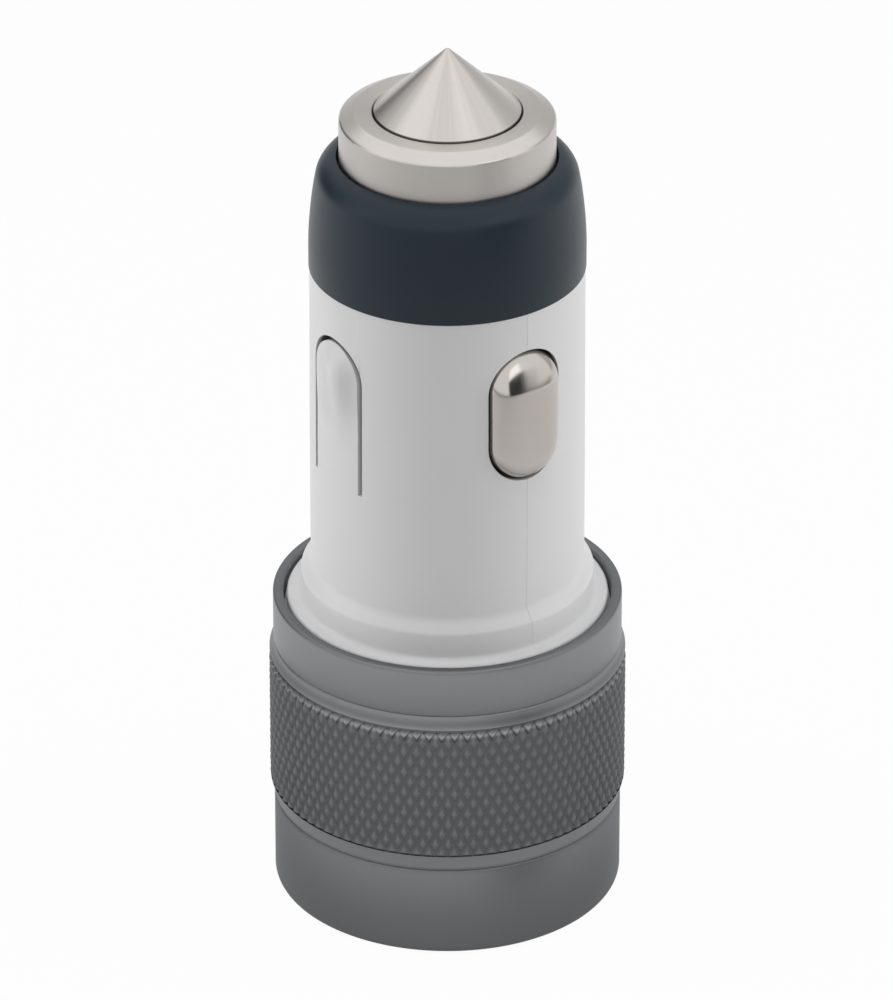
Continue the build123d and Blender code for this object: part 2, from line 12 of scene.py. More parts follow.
import bmesh
import bpy
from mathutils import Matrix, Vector


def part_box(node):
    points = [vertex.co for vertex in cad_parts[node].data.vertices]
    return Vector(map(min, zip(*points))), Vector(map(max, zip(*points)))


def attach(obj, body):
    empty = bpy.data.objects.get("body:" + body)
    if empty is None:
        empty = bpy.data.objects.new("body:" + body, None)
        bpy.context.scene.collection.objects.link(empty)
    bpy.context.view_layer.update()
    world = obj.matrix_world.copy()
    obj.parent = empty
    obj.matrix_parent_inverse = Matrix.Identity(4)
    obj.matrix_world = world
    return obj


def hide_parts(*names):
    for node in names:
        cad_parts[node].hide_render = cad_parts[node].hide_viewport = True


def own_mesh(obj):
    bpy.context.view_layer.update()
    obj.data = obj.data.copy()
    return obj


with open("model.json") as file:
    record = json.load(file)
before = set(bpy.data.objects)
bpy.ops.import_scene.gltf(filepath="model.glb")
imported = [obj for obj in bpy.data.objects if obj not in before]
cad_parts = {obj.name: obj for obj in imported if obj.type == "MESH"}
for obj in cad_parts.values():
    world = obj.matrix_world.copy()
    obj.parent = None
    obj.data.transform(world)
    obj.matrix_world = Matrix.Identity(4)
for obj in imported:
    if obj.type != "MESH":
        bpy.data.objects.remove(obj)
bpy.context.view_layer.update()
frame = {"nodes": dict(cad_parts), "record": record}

mm = 0.001
nodes = frame["nodes"]

# %% [markdown]
# ## Working as by hand
# An operator acts on all that is selected, so each new piece starts from an empty selection.
# The picker below then does what clicking does in a window: it takes the vertices, edges or
# faces whose place passes a test, and says how many it found.

# %% Starting and picking
close = 0.002 * mm


def start_piece(name, add, **settings):
    """Add a primitive with nothing else selected, name it and open it in edit mode."""
    bpy.ops.object.select_all(action="DESELECT")
    add(**settings)
    piece = bpy.context.object
    piece.name = name
    piece.data.name = name
    bpy.ops.object.mode_set(mode="EDIT")
    bpy.ops.mesh.select_mode(type="VERT")
    bpy.ops.mesh.select_all(action="SELECT")
    return piece


def pick(piece, kind, test):
    """Select the vertices, edges or faces (kind VERT, EDGE or FACE) that pass a test."""
    bpy.ops.mesh.select_mode(type=kind)
    bpy.ops.mesh.select_all(action="DESELECT")
    mesh = bmesh.from_edit_mesh(piece.data)
    items = {"VERT": mesh.verts, "EDGE": mesh.edges, "FACE": mesh.faces}[kind]
    chosen = [item for item in items if test(item)]
    for item in chosen:
        item.select_set(True)
    mesh.select_flush_mode()
    bmesh.update_edit_mesh(piece.data)
    return len(chosen)


def radius_of(vert):
    """How far a vertex lies from the plug's axis."""
    return hypot(vert.co.x, vert.co.y)


def finish_piece(piece, sharp_angle):
    """Merge what meets, point the faces outwards, leave edit mode and shade the piece."""
    bpy.ops.mesh.select_all(action="SELECT")
    bpy.ops.mesh.remove_doubles(threshold=close)
    bpy.ops.mesh.normals_make_consistent(inside=False)
    mesh = bmesh.from_edit_mesh(piece.data)
    open_edges = sum(len(edge.link_faces) != 2 for edge in mesh.edges)
    faces = len(mesh.faces)
    bpy.ops.object.mode_set(mode="OBJECT")
    bpy.ops.object.shade_smooth_by_angle(angle=radians(sharp_angle))
    print(f"{piece.name}: {faces} faces, {open_edges} open edges")


# %% [markdown]
# ## Turned pieces
# The nose ring, the collar and the tip come off a lathe or out of a round mould. By hand they
# could start as cylinders and be cut down, but their sections are easier to draw: one vertex is
# extruded from corner to corner, the outline is closed, its corners are bevelled round, and a
# full spin about the axis makes the piece. A vertex bevel cuts both edges back by the same
# length, so a corner of radius r that turns by some angle is cut back by r * tan(angle / 2).

# %% A small lathe
def corner_cut(before, corner, after):
    """How far a corner's rounding reaches along its two edges."""
    radius, height, rounding = corner
    into = Vector((radius - before[0], height - before[1]))
    out = Vector((after[0] - radius, after[1] - height))
    return rounding * tan(into.angle(out) / 2)


def turn_piece(name, corners, steps=192, arc_steps=8):
    """Spin a closed outline of (radius, height, rounding) corners, in mm, about the Z axis."""
    piece = start_piece(name, bpy.ops.mesh.primitive_plane_add, size=mm)
    bpy.ops.mesh.merge(type="CENTER")
    first = corners[0]
    bpy.ops.transform.translate(value=(first[0] * mm, 0, first[1] * mm))
    for here, there in zip(corners, corners[1:]):
        step = ((there[0] - here[0]) * mm, 0, (there[1] - here[1]) * mm)
        bpy.ops.mesh.extrude_region_move(TRANSFORM_OT_translate={"value": step})
    bpy.ops.mesh.select_all(action="SELECT")
    bpy.ops.mesh.edge_face_add()
    for index, corner in enumerate(corners):
        if corner[2]:
            place = Vector((corner[0] * mm, 0, corner[1] * mm))
            cut = corner_cut(corners[index - 1], corner, corners[(index + 1) % len(corners)])
            pick(piece, "VERT", lambda vert: (vert.co - place).length < close)
            bpy.ops.mesh.bevel(offset=cut * mm, segments=arc_steps, affect="VERTICES")
    bpy.ops.mesh.select_all(action="SELECT")
    bpy.ops.mesh.delete(type="ONLY_FACE")
    pick(piece, "EDGE", lambda edge: max(radius_of(vert) for vert in edge.verts) < close)
    bpy.ops.mesh.delete(type="EDGE")
    bpy.ops.mesh.select_all(action="SELECT")
    bpy.ops.mesh.spin(steps=steps, angle=2 * pi, center=(0, 0, 0), axis=(0, 0, 1))
    return piece


# %% [markdown]
# ## Nose ring
# The slate ring slides over the end of the barrel and holds the collar down with its lip. Its
# side leans in along one long curve: two straight runs meet at mid height, and their corner is
# rounded so widely that hardly anything straight is left. A second wide rounding turns the side
# over into the lip, and a small one ends the lip at the mouth.

# %% Nose ring
nose_low, nose_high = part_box("nose_ring")
nose_foot = nose_low.z / mm
nose_top = nose_high.z / mm
nose_radius = nose_high.x / mm
nose_taper = 0.87
nose_bend = 4.54            # height of the corner that becomes the long curve
nose_curve = 28.0
nose_bore = 9.20
lip_drop = 0.36
lip_round = 2.0
lip_thickness = 1.20
mouth_radius = 8.25
mouth_round = 0.15
foot_round = 0.08
lean_height = nose_top - nose_foot - nose_bend
lip_corner_radius = nose_radius - nose_taper * (1 - lip_drop / lean_height)

nose = turn_piece("nose_ring_smooth", [
    (nose_bore, nose_foot, 0),
    (nose_radius, nose_foot, foot_round),
    (nose_radius, nose_foot + nose_bend, nose_curve),
    (lip_corner_radius, nose_top - lip_drop, lip_round),
    (mouth_radius, nose_top, mouth_round),
    (mouth_radius, nose_top - lip_thickness, 0),
    (nose_bore, nose_top - lip_thickness, 0),
])
finish_piece(nose, sharp_angle=40)

# %% [markdown]
# ## Collar and tip
# Both are turned steel. The collar has a flange under the nose lip, a bevel that catches the
# light and a broken edge at its bore. The tip is a blunt cone whose point is a small ball, drawn
# as a short flat and a cone with the corner between them rounded until the flat is gone. The
# cone ends just above the collar, so that the tip's neck shows under it as a fine line, which
# painted shade makes dark.

# %% Collar
collar_low, collar_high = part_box("tip_collar")
collar_foot = collar_low.z / mm
collar_top = collar_high.z / mm
collar_flange_radius = collar_high.x / mm
collar_flange = 1.20
collar_radius = 8.10
collar_bevel = 1.10
collar_bevel_drop = 0.55
collar_bevel_round = 0.3
collar_bore = 5.56
collar_edge = 0.10
edge_break = 0.05
guide_radius = 7.17
tip_low, tip_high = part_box("centre_tip")
tip_foot = tip_low.z / mm
tip_top = tip_high.z / mm
tip_flange_radius = tip_high.x / mm
tip_flange = 1.20
stop_height = tip_foot + tip_flange

collar = turn_piece("tip_collar_turned", [
    (guide_radius, collar_foot, 0),
    (collar_flange_radius, collar_foot, 0),
    (collar_flange_radius, collar_foot + collar_flange, 0),
    (collar_radius, collar_foot + collar_flange, 0),
    (collar_radius, collar_top - collar_bevel_drop, collar_bevel_round),
    (collar_radius - collar_bevel, collar_top, collar_bevel_round),
    (collar_bore + collar_edge, collar_top, edge_break),
    (collar_bore, collar_top - collar_edge, edge_break),
    (collar_bore, stop_height, 0),
    (guide_radius, stop_height, 0),
])
finish_piece(collar, sharp_angle=30)

# %% Tip
tip_radius = 5.50
tip_half_angle = radians(47)
tip_ball = 0.30
tip_bore = 4.60
tip_roof_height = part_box("tip_spring")[1].z / mm
cone_flat = tip_ball * tan((pi / 2 - tip_half_angle) / 2)
cone_foot = tip_top - (tip_radius - cone_flat) / tan(tip_half_angle)

tip = turn_piece("centre_tip_turned", [
    (0, tip_top, 0),
    (cone_flat, tip_top, tip_ball),
    (tip_radius, cone_foot, edge_break),
    (tip_radius, stop_height, 0),
    (tip_flange_radius, stop_height, 0),
    (tip_flange_radius, tip_foot, 0),
    (tip_bore, tip_foot, 0),
    (tip_bore, tip_roof_height, 0),
    (0, tip_roof_height, 0),
])
finish_piece(tip, sharp_angle=30)

# %% [markdown]
# ## Knurled sleeve
# The sleeve is a turned tube with a band of diamonds rolled into it. A tube grows well from one
# circle: the ring is extruded upwards and scaled, again and again, and the last ring lands on the
# first. Two vertices for each diamond go round the circle, so in the band every second vertex,
# in alternate rows, is the crest of a diamond. Pulling those out makes sharp pyramids, and a
# vertex bevel blunts them as the rolling tool does.

# %% Sleeve rings
sleeve_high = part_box("head_sleeve")[1]
sleeve_top = sleeve_high.z / mm
knurl_columns = 88
knurl_rows = 12
knurl_row = 0.88
knurl_foot = 8.95
knurl_top = knurl_foot + knurl_rows * knurl_row
knurl_crest = sleeve_high.x / mm
knurl_depth = 0.22
knurl_root = knurl_crest - knurl_depth
sleeve_radius = 13.30
groove_radius = 13.28
groove_width = 0.34
foot_groove_radius = 13.38
foot_groove_width = 0.12
band_step = 0.03
band_ring = knurl_crest - band_step
chamfer_foot = 1.18
chamfer_top = 0.70
score_offset = 0.27
score_width = 0.26
score_depth = 0.10
sleeve_bore = 12.50
sleeve_edge = 0.15
sleeve_lip_radius = 11.70
sleeve_lip_height = 1.40
foot_score = knurl_foot - foot_groove_width - chamfer_foot - score_offset
top_score = knurl_top + groove_width + chamfer_top + score_offset


def scored_line(height):
    """The three rings of a fine line cut into the plain sleeve."""
    return [
        (sleeve_radius, height - score_width / 2),
        (sleeve_radius - score_depth, height),
        (sleeve_radius, height + score_width / 2),
    ]


sleeve_rings = [(sleeve_lip_radius + sleeve_edge, 0), (sleeve_radius, 0)]
sleeve_rings += scored_line(foot_score)
sleeve_rings += [
    (sleeve_radius, knurl_foot - foot_groove_width - chamfer_foot),
    (band_ring, knurl_foot - foot_groove_width),
    (foot_groove_radius, knurl_foot - foot_groove_width),
    (foot_groove_radius, knurl_foot),
]
sleeve_rings += [(knurl_root, knurl_foot + row * knurl_row) for row in range(knurl_rows + 1)]
sleeve_rings += [
    (groove_radius, knurl_top),
    (groove_radius, knurl_top + groove_width),
    (band_ring, knurl_top + groove_width),
    (sleeve_radius, knurl_top + groove_width + chamfer_top),
]
sleeve_rings += scored_line(top_score)
sleeve_rings += [
    (sleeve_radius, sleeve_top),
    (sleeve_bore + sleeve_edge, sleeve_top),
    (sleeve_bore, sleeve_top - sleeve_edge),
    (sleeve_bore, sleeve_lip_height),
    (sleeve_lip_radius, sleeve_lip_height),
    (sleeve_lip_radius, sleeve_edge),
    (sleeve_lip_radius + sleeve_edge, 0),
]
print("sleeve rings:", len(sleeve_rings))

# %% Sleeve tube
sleeve = start_piece(
    "head_sleeve_knurled", bpy.ops.mesh.primitive_circle_add,
    vertices=2 * knurl_columns, radius=sleeve_rings[0][0] * mm)
for here, there in zip(sleeve_rings, sleeve_rings[1:]):
    bpy.ops.mesh.extrude_region_move(
        TRANSFORM_OT_translate={"value": (0, 0, (there[1] - here[1]) * mm)})
    share = there[0] / here[0]
    bpy.ops.transform.resize(value=(share, share, 1), center_override=(0, 0, 0))
bpy.ops.mesh.select_all(action="SELECT")
bpy.ops.mesh.remove_doubles(threshold=close)
print("sleeve tube:", len(bmesh.from_edit_mesh(sleeve.data).faces), "faces")

# %% Diamonds
knurl_pull = 0.308               # height of a sharp pyramid, before its point is blunted
knurl_apex = knurl_root + knurl_pull
knurl_blunt = 56                 # share of each ridge that the blunting takes, in percent
knurl_blunt_steps = 3
knurl_top_lean = 0.40            # the top row's crests lean back from the groove
crest_slack = 0.02
band_slack = 0.05
row_slack = 0.1


def on_crest(vert):
    """True for the lattice points that become crests: every second one, in alternate rows."""
    row = (vert.co.z / mm - knurl_foot) / knurl_row
    column = atan2(vert.co.y, vert.co.x) / pi * knurl_columns
    on_root = abs(radius_of(vert) - knurl_root * mm) < crest_slack * mm
    in_rows = -row_slack < row < knurl_rows + row_slack
    return on_root and in_rows and (round(row) + round(column)) % 2 == 0


def in_band(face):
    """True for the faces of the knurled band, between its two end rows."""
    low = min(vert.co.z for vert in face.verts)
    high = max(vert.co.z for vert in face.verts)
    outside = min(radius_of(vert) for vert in face.verts) > (knurl_root - band_slack) * mm
    inside_ends = low > knurl_foot * mm - close and high < knurl_top * mm + close
    return outside and inside_ends and high - low > close


crests = pick(sleeve, "VERT", on_crest)
pull = knurl_apex / knurl_root
bpy.ops.transform.resize(value=(pull, pull, 1), center_override=(0, 0, 0))
pick(sleeve, "FACE", in_band)
bpy.ops.mesh.quads_convert_to_tris(quad_method="SHORTEST_DIAGONAL")
near_apex = (knurl_apex - crest_slack) * mm
pick(sleeve, "VERT", lambda vert: radius_of(vert) > near_apex and vert.co.z > knurl_top * mm - close)
bpy.ops.transform.translate(value=(0, 0, -knurl_top_lean * mm))
pick(sleeve, "VERT", lambda vert: radius_of(vert) > near_apex)
bpy.ops.mesh.bevel(
    offset_type="PERCENT", offset_pct=knurl_blunt, segments=knurl_blunt_steps, affect="VERTICES")
print("knurl crests:", crests)

# %% Rounded edges of the sleeve
sleeve_roundings = (            # height of the edge, radius and steps of its rounding
    (0, 0.8, 8),
    (sleeve_top, 0.2, 4),
)


def ring_edge(radius, height):
    """A test for the edges of the ring at this radius and height."""
    def test(edge):
        return all(
            abs(radius_of(vert) - radius * mm) < close and abs(vert.co.z - height * mm) < close
            for vert in edge.verts)
    return test


for height, rounding, segments in sleeve_roundings:
    pick(sleeve, "EDGE", ring_edge(sleeve_radius, height))
    bpy.ops.mesh.bevel(offset=rounding * mm, segments=segments, affect="EDGES")
finish_piece(sleeve, sharp_angle=75)

# %% [markdown]
# ## Half-shells
# The barrel is moulded in two halves that are welded along a seam, with a spring tab cut free in
# each. The CAD solids have this shape already, so each half is a copy of its solid. Only the
# seam is drawn: a weld closes it nearly, so the faces along it move closer together.

# %% Half-shells
seam_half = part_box("barrel_half_rear")[0].y
seam_share = 0.40              # how much of the gap between the halves is left
seam_reach = 1.2


def start_copy(name, node):
    """Copy a CAD node, merge its vertices and leave the copy open in edit mode."""
    bpy.ops.object.select_all(action="DESELECT")
    nodes[node].select_set(True)
    bpy.context.view_layer.objects.active = nodes[node]
    bpy.ops.object.duplicate()
    piece = bpy.context.object
    piece.name = name
    piece.data.name = name
    bpy.ops.object.mode_set(mode="EDIT")
    bpy.ops.mesh.select_mode(type="VERT")
    bpy.ops.mesh.select_all(action="SELECT")
    bpy.ops.mesh.remove_doubles(threshold=close / 4, use_sharp_edge_from_normals=True)
    return piece


def close_seam(name, node):
    """Copy a half-shell and draw its seam faces towards the other half."""
    half = start_copy(name, node)
    moved = pick(half, "VERT", lambda vert: abs(vert.co.y) < seam_reach * seam_half)
    bpy.ops.transform.resize(value=(1, seam_share, 1), center_override=(0, 0, 0))
    bpy.ops.object.mode_set(mode="OBJECT")
    print(f"{name}: {len(half.data.polygons)} faces, {moved} vertices along the seam")
    return half


half_front = close_seam("barrel_half_front_welded", "barrel_half_front")
half_rear = close_seam("barrel_half_rear_welded", "barrel_half_rear")

# %% [markdown]
# ## Side contacts
# A ground contact is pressed from nickel-plated sheet: a plate that stays behind the window, and
# a pill-shaped cap that comes through it. The plate is taken from the CAD solid. The cap is drawn
# as one section, a rectangle with round shoulders, which is extruded upwards ring by ring. At the
# lower end it shrinks along a full, squarish curve. At the upper end, which enters the car's
# socket first, it starts with a crease and slopes down as a ramp.

# %% Rings of a cap
cap_width = 6.00
cap_length = 10.40
cap_foot_x = 9.32
cap_sunk = 0.20
cap_shoulder = 0.64             # above 0.5 the section is fuller than an ellipse
cap_corner = 0.49               # share of a side that each rounded corner takes
cap_corner_steps = 16
cap_steps = 14
cap_end_turn = radians(88)      # the end rings stop just short of a point
cap_ramp = sin(radians(38))     # how far round its curve the ramp at the upper end begins
ramp_fullness = 2               # 2 makes an end an ellipse, and more makes it squarer
foot_fullness = 3.5
plate_slack = 0.01


def cap_end(ramp, fullness):
    """Height above the straight part, rise and width of each ring of one end of the cap."""
    rings = []
    for step in range(cap_steps + 1):
        along = sin(cap_end_turn * step / cap_steps)
        round_to = ramp + along * (1 - ramp)
        rise = ((1 - round_to ** fullness) / (1 - ramp ** fullness)) ** (1 / fullness)
        rings.append((along * cap_width / 2, rise, sqrt(1 - along ** 2)))
    return rings


def cap_rings(middle):
    """Height, rise and width of each ring of the cap, from its lower end to its upper end."""
    straight = (cap_length - cap_width) / 2
    lower = reversed(cap_end(0, foot_fullness))
    upper = cap_end(cap_ramp, ramp_fullness)
    rings = [(middle - straight - height, rise, width) for height, rise, width in lower]
    return rings + [(middle + straight + height, rise, width) for height, rise, width in upper]


print("cap rings:", len(cap_rings(0)))

# %% A pressed cap
def press_cap(name, side, middle, cap_rise):
    """Extrude the cap's section ring by ring, and keep the half that comes through the window."""
    rings = cap_rings(middle)
    cap = start_piece(name, bpy.ops.mesh.primitive_plane_add, size=cap_width * mm)
    bpy.ops.mesh.bevel(
        offset=cap_corner * cap_width * mm, segments=cap_corner_steps,
        profile=cap_shoulder, affect="VERTICES")
    bpy.ops.mesh.select_all(action="SELECT")
    bpy.ops.mesh.delete(type="ONLY_FACE")
    bpy.ops.mesh.select_all(action="SELECT")
    bpy.ops.transform.resize(value=(2 * cap_rise / cap_width, 1, 1))
    bpy.ops.transform.resize(value=(rings[0][1], rings[0][2], 1))
    bpy.ops.transform.translate(value=(0, 0, rings[0][0] * mm))
    for here, there in zip(rings, rings[1:]):
        bpy.ops.mesh.extrude_region_move(
            TRANSFORM_OT_translate={"value": (0, 0, (there[0] - here[0]) * mm)})
        bpy.ops.transform.resize(
            value=(there[1] / here[1], there[2] / here[2], 1), center_override=(0, 0, there[0] * mm))
    bpy.ops.mesh.select_all(action="SELECT")
    bpy.ops.mesh.remove_doubles(threshold=close)
    bpy.ops.mesh.bisect(plane_co=(-side * cap_sunk * mm, 0, 0), plane_no=(side, 0, 0), clear_inner=True)
    bpy.ops.mesh.select_all(action="SELECT")
    bpy.ops.mesh.fill_holes(sides=0)
    bpy.ops.mesh.select_all(action="SELECT")
    bpy.ops.mesh.delete_loose()
    bpy.ops.mesh.select_all(action="SELECT")
    bpy.ops.transform.translate(value=(side * cap_foot_x * mm, 0, 0))
    finish_piece(cap, sharp_angle=50)
    return cap


# %% Contacts
def press_contact(name, node, side):
    """Model the contact on the +X side (side 1) or the -X side (side -1)."""
    low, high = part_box(node)
    middle = (low.z + high.z) / 2 / mm
    cap_rise = max(abs(low.x), abs(high.x)) / mm - cap_foot_x
    cap = press_cap(name + "_cap", side, middle, cap_rise)
    plate = start_copy(name, node)
    outermost = (cap_foot_x - plate_slack) * mm
    pick(plate, "FACE", lambda face: side * face.calc_center_median().x > outermost)
    bpy.ops.mesh.delete(type="FACE")
    pick(plate, "EDGE", lambda edge: len(edge.link_faces) == 1)
    bpy.ops.mesh.bridge_edge_loops()
    finish_piece(plate, sharp_angle=40)
    cap.select_set(True)
    bpy.context.view_layer.objects.active = plate
    bpy.ops.object.join()
    return plate


contact_right = press_contact("ground_contact_right_pressed", "ground_contact_right", 1)
contact_left = press_contact("ground_contact_left_pressed", "ground_contact_left", -1)

# %% [markdown]
# ## Springs
# A coil of round wire presses the tip out, and a bow of spring strip stands behind each contact.
# The coil is one small circle that a Screw modifier carries round and up. The bows have the right
# form already, so they are copies.

# %% Springs
spring_low, spring_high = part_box("tip_spring")
spring_wire = 0.80
wire_sides = 16
spring_turns = 4.5
steps_each_turn = 40
coil_radius = spring_high.x / mm - spring_wire / 2
spring_rise = (spring_high.z - spring_low.z) / mm - spring_wire

tip_spring = start_piece(
    "tip_spring_coiled", bpy.ops.mesh.primitive_circle_add,
    vertices=wire_sides, radius=spring_wire / 2 * mm)
bpy.ops.transform.rotate(value=pi / 2, orient_axis="X", center_override=(0, 0, 0))
bpy.ops.transform.translate(value=(coil_radius * mm, 0, spring_low.z + spring_wire / 2 * mm))
bpy.ops.object.mode_set(mode="OBJECT")
winding = tip_spring.modifiers.new("winding", "SCREW")
winding.angle = 2 * pi * spring_turns
winding.screw_offset = spring_rise * mm
winding.steps = round(steps_each_turn * spring_turns)
winding.render_steps = winding.steps
bpy.ops.object.modifier_apply(modifier=winding.name)
bpy.ops.object.mode_set(mode="EDIT")
bpy.ops.mesh.select_all(action="SELECT")
bpy.ops.mesh.fill_holes(sides=0)
finish_piece(tip_spring, sharp_angle=50)


def copy_bow(name, node):
    """Copy a bow spring, so that it can give way with its contact."""
    bow = start_copy(name, node)
    finish_piece(bow, sharp_angle=40)
    return bow


bow_right = copy_bow("ground_spring_right_bow", "ground_spring_right")
bow_left = copy_bow("ground_spring_left_bow", "ground_spring_left")

# %% [markdown]
# ## Finishes
# Each finish is a Principled shader with a few nodes that vary its colour, gloss and surface.
# One class wraps a socket, so that shader maths reads as plain arithmetic: an expression on
# sockets adds the Math nodes that it needs. A second class makes all other nodes, for the
# finishes here and for the studio later.

# %% Sockets as numbers
class Signal:
    """A socket in a node graph, with arithmetic that adds Math nodes."""

    def __init__(self, graph, socket):
        self.graph = graph
        self.socket = socket

    def maths(self, operation, *values):
        return self.graph.node("ShaderNodeMath", {"operation": operation}, dict(enumerate(values)))

    def __add__(self, other):
        return self.maths("ADD", self, other)

    def __radd__(self, other):
        return self.maths("ADD", other, self)

    def __sub__(self, other):
        return self.maths("SUBTRACT", self, other)

    def __rsub__(self, other):
        return self.maths("SUBTRACT", other, self)

    def __mul__(self, other):
        return self.maths("MULTIPLY", self, other)

    def __rmul__(self, other):
        return self.maths("MULTIPLY", other, self)

    def __abs__(self):
        return self.maths("ABSOLUTE", self)

    def between(self, low, high, first=0, last=1):
        """First below low, last above high and smooth in between."""
        return self.graph.node("ShaderNodeMapRange", {"interpolation_type": "SMOOTHSTEP"}, {
            "Value": self, "From Min": low, "From Max": high, "To Min": first, "To Max": last})


class Graph:
    """The nodes of one material, or of the world."""

    def __init__(self, tree):
        self.tree = tree
        tree.nodes.clear()

    def node(self, kind, settings=None, inputs=None, output=0):
        """Add a node, set it up, and feed its sockets with numbers, colours or signals."""
        made = self.tree.nodes.new(kind)
        for name, value in (settings or {}).items():
            setattr(made, name, value)
        for name, value in (inputs or {}).items():
            self.feed(made.inputs[name], value)
        return Signal(self, made.outputs[output]) if made.outputs else None

    def feed(self, socket, value):
        """Link a signal to a socket, or set a number, vector or colour on it."""
        if isinstance(value, Signal):
            self.tree.links.new(value.socket, socket)
        elif socket.type == "RGBA":
            socket.default_value = (*value, 1)
        else:
            socket.default_value = value


# %% A finish and its patterns
class Finish(Graph):
    """One material: a Principled shader and the nodes that feed it."""

    def __init__(self, name, colour, roughness, **constants):
        self.material = bpy.data.materials.new(name)
        self.material.use_nodes = True
        super().__init__(self.material.node_tree)
        self.colour = colour
        surface = self.node("ShaderNodeBsdfPrincipled", {}, {
            "Base Color": colour, "Roughness": roughness})
        self.shader = surface.socket.node
        for socket, value in constants.items():
            self.shader.inputs[socket.replace("_", " ")].default_value = value
        self.node("ShaderNodeOutputMaterial", {}, {"Surface": surface})
        self.place = self.node("ShaderNodeTexCoord", output="Object")
        self.x, self.y, self.z = (
            self.node("ShaderNodeSeparateXYZ", {}, {"Vector": self.place}, output=axis)
            for axis in "XYZ")

    def radius(self):
        """Distance from the plug's axis."""
        square = self.x * self.x + self.y * self.y
        return square.maths("SQRT", square)

    def outwards(self, low, high):
        """0 inside one radius and 1 outside another, in millimetres."""
        return self.radius().between(low * mm, high * mm)

    def upwards(self, low, high):
        """0 below one height and 1 above another, in millimetres."""
        return self.z.between(low * mm, high * mm)

    def at_height(self, height, spread):
        """1 at a height, and 0 further from it than the spread, in millimetres."""
        return 1 - abs(self.z - height * mm).between(0, spread * mm)

    def noise(self, scale, detail=2.0, stretch=(1, 1, 1)):
        """Soft noise, from 0 to 1, with scale waves to a millimetre."""
        vector = self.node("ShaderNodeMapping", {"vector_type": "POINT"}, {
            "Vector": self.place, "Scale": tuple(scale * part / mm for part in stretch)})
        return self.node("ShaderNodeTexNoise", {"noise_dimensions": "3D"}, {
            "Vector": vector, "Scale": 1.0, "Detail": detail, "Roughness": 0.5})

    def lines(self, position, scale, detail=3.0):
        """Noise along one line only: the fine marks that a turning tool leaves."""
        return self.node("ShaderNodeTexNoise", {"noise_dimensions": "1D"}, {
            "W": position * (scale / mm), "Scale": 1.0, "Detail": detail, "Roughness": 0.6})

    def fans(self, scale):
        """Noise that changes only round the axis, so that it spreads like a fan from it."""
        flat = self.node("ShaderNodeVectorMath", {"operation": "MULTIPLY"}, {
            0: self.place, 1: (1, 1, 0)})
        bearing = self.node("ShaderNodeVectorMath", {"operation": "NORMALIZE"}, {0: flat})
        return self.node("ShaderNodeTexNoise", {"noise_dimensions": "3D"}, {
            "Vector": bearing, "Scale": scale, "Detail": 4.0, "Roughness": 0.6})

    def tint(self, share, other):
        """Fade the base colour into another colour by a share from 0 to 1."""
        base = self.shader.inputs["Base Color"]
        start = Signal(self, base.links[0].from_socket) if base.links else self.colour
        self.feed(base, self.node("ShaderNodeMix", {"data_type": "RGBA"}, {
            0: share, 6: start, 7: other}, output=2))

    def rough(self, signal):
        """Let the roughness follow a signal."""
        self.feed(self.shader.inputs["Roughness"], signal)

    def bump(self, height, depth, strength=1.0):
        """Raise the surface by a signal from 0 to 1, depth millimetres at most."""
        normal = self.shader.inputs["Normal"]
        inputs = {"Height": height, "Strength": strength, "Distance": depth * mm}
        if normal.links:
            inputs["Normal"] = Signal(self, normal.links[0].from_socket)
        self.feed(normal, self.node("ShaderNodeBump", {}, inputs))


def darker(colour, share):
    """A colour times a share of its light."""
    return tuple(part * share for part in colour)


# %% [markdown]
# ## Anodised sleeve
# Bead-blasted, dyed and sealed aluminium: a grey metal with a broad, soft reflection. Turning
# marks run round the plain bands. The knurled band is painted darker, and its valleys darker still
# than the blunted crests: painted shade among the diamonds. Soft dark lines of painted shade follow
# the scored lines, which hold some grime too, the groove, the chamfer above the knurl and the rim,
# and the band at the foot is painted darker for the shadow near the plug that it mirrors.

# %% Anodised aluminium
anodised_grey = (0.316, 0.326, 0.337)
knurl_painted_shade = darker(anodised_grey, 0.54)
valley_painted_shade = darker(anodised_grey, 0.45)
foot_painted_shade = darker(anodised_grey, 0.50)
line_painted_shade = darker(anodised_grey, 0.35)
valley_radius = knurl_crest - 0.14
crest_radius = knurl_crest - 0.01
knurl_fade_start = knurl_top - 0.6
knurl_fade_end = knurl_top - 0.3
foot_band_top = foot_score - 0.4

anodised = Finish("anodised_sleeve_finish", anodised_grey, 0.42, Metallic=1.0)
anodised.tint(anodised.noise(1.2, detail=3.0) * 0.20, darker(anodised_grey, 0.80))
past_foot = anodised.upwards(knurl_foot - foot_groove_width, knurl_foot)
past_top = anodised.upwards(knurl_fade_start, knurl_fade_end)
on_knurl = past_foot * (1 - past_top)
in_valley = 1 - anodised.outwards(valley_radius, crest_radius)
# painted shade: the knurled band is painted darker, and its valleys darker still
anodised.tint(on_knurl * 0.8, knurl_painted_shade)
anodised.tint(in_valley * on_knurl * 0.9, valley_painted_shade)
# painted shade: the band at the foot is darkened for the paper's shadow that it mirrors
on_foot_band = 1 - anodised.upwards(foot_band_top, foot_score)
anodised.tint(on_foot_band * 0.66, foot_painted_shade)

